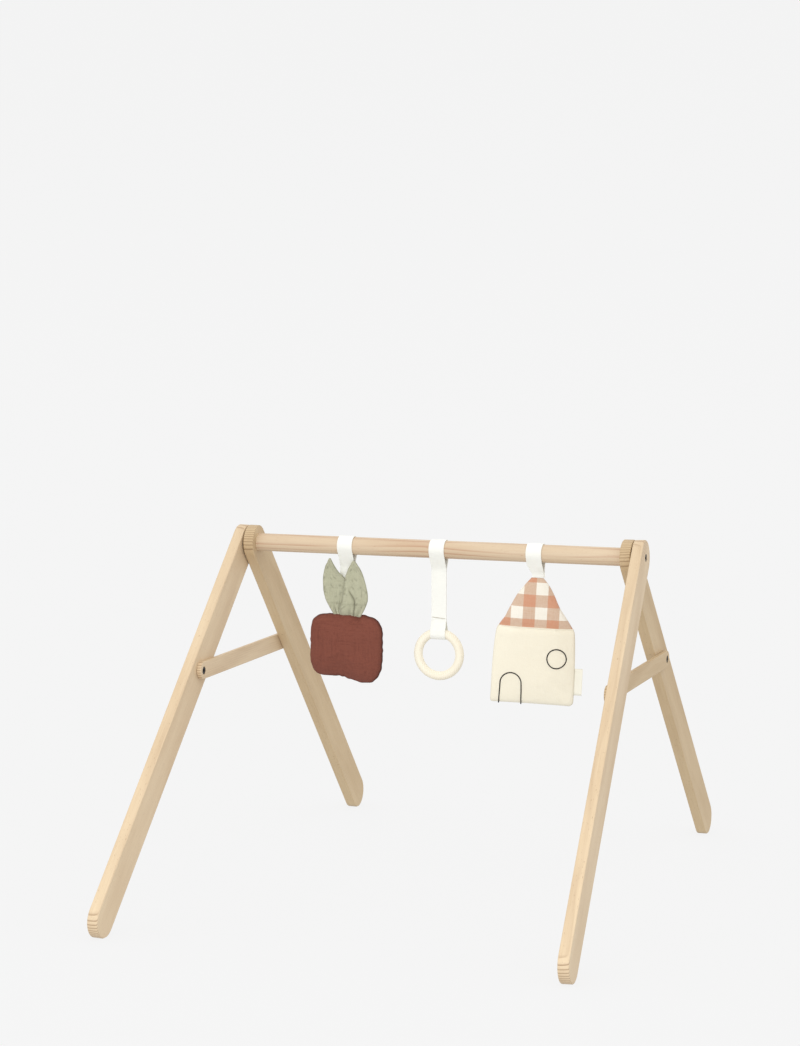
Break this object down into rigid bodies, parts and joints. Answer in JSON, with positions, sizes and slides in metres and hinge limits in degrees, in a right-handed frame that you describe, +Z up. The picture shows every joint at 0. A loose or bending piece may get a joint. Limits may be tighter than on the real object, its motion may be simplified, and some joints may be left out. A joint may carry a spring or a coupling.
{
  "type": "activity play gym",
  "caption": "Free-standing wooden baby play gym: a round bar between two bolted A-frames, with soft fabric toys and a wooden teething ring on tape loops that slide and swing.",
  "frame": {"origin": "on the floor, under the middle of the bar: the centre of the base of the overall box", "axes": "+X along the bar, from the stuffed fruit towards the house; front is -Y, the side the toys face; +Z up"},
  "size_m": [0.645, 0.9009, 0.4951],
  "materials": {
    "beech": "fine sanded, clear matt oil",
    "pale_beech": "fine sanded, no finish",
    "black_steel": "satin black",
    "insert_brass": "turned",
    "ivory_tape": "cotton twill tape",
    "terracotta_muslin": "washed cotton muslin",
    "sage_muslin": "crinkled double gauze",
    "cream_cotton": "plain cotton",
    "checked_cotton": "woven check in cream and light terracotta",
    "tag_tape": "plain satin tape, no print",
    "wadding": "loose polyester fibre"
  },
  "bodies": {
    "frame": {"bar": "beech", "left_back_leg": "beech", "left_front_leg": "beech", "right_back_leg": "beech", "right_front_leg": "beech", "left_brace": "beech", "right_brace": "beech", "left_top_bolt": "black_steel", "right_top_bolt": "black_steel", "left_brace_front_bolt": "black_steel", "left_brace_back_bolt": "black_steel", "right_brace_front_bolt": "black_steel", "right_brace_back_bolt": "black_steel", "left_bar_insert": "insert_brass", "right_bar_insert": "insert_brass", "left_brace_front_insert": "insert_brass", "left_brace_back_insert": "insert_brass", "right_brace_front_insert": "insert_brass", "right_brace_back_insert": "insert_brass"},
    "apple_loop": {"apple_strap": "ivory_tape"},
    "apple": {"apple_cover": "terracotta_muslin", "apple_filling": "wadding", "apple_left_leaf": "sage_muslin", "apple_right_leaf": "sage_muslin"},
    "ring_loop": {"ring_strap": "ivory_tape"},
    "teething_ring": {"ring": "pale_beech"},
    "house_loop": {"house_strap": "ivory_tape"},
    "house": {"house_roof": "checked_cotton", "house_walls": "cream_cotton", "house_filling": "wadding", "house_tag": "tag_tape"}
  },
  "joints": [
    {"name": "apple_slide", "type": "slide", "parent": "frame", "child": "apple_loop", "axis": [1, 0, 0], "range_m": [-0.074, 0.02]},
    {"name": "apple_swing", "type": "hinge", "parent": "apple_loop", "child": "apple", "pos_m": [-0.1328, 0, 0.471], "axis": [1, 0, 0], "range_deg": [-80, 80], "deforming": ["apple_strap"]},
    {"name": "ring_slide", "type": "slide", "parent": "frame", "child": "ring_loop", "axis": [1, 0, 0], "range_m": [-0.02, 0.018]},
    {"name": "ring_swing", "type": "hinge", "parent": "ring_loop", "child": "teething_ring", "pos_m": [0.0032, 0, 0.471], "axis": [1, 0, 0], "range_deg": [-80, 80], "deforming": ["ring_strap"]},
    {"name": "house_slide", "type": "slide", "parent": "frame", "child": "house_loop", "axis": [1, 0, 0], "range_m": [-0.018, 0.053]},
    {"name": "house_swing", "type": "hinge", "parent": "house_loop", "child": "house", "pos_m": [0.1435, 0, 0.471], "axis": [1, 0, 0], "range_deg": [-80, 80], "deforming": ["house_strap"]}
  ]
}
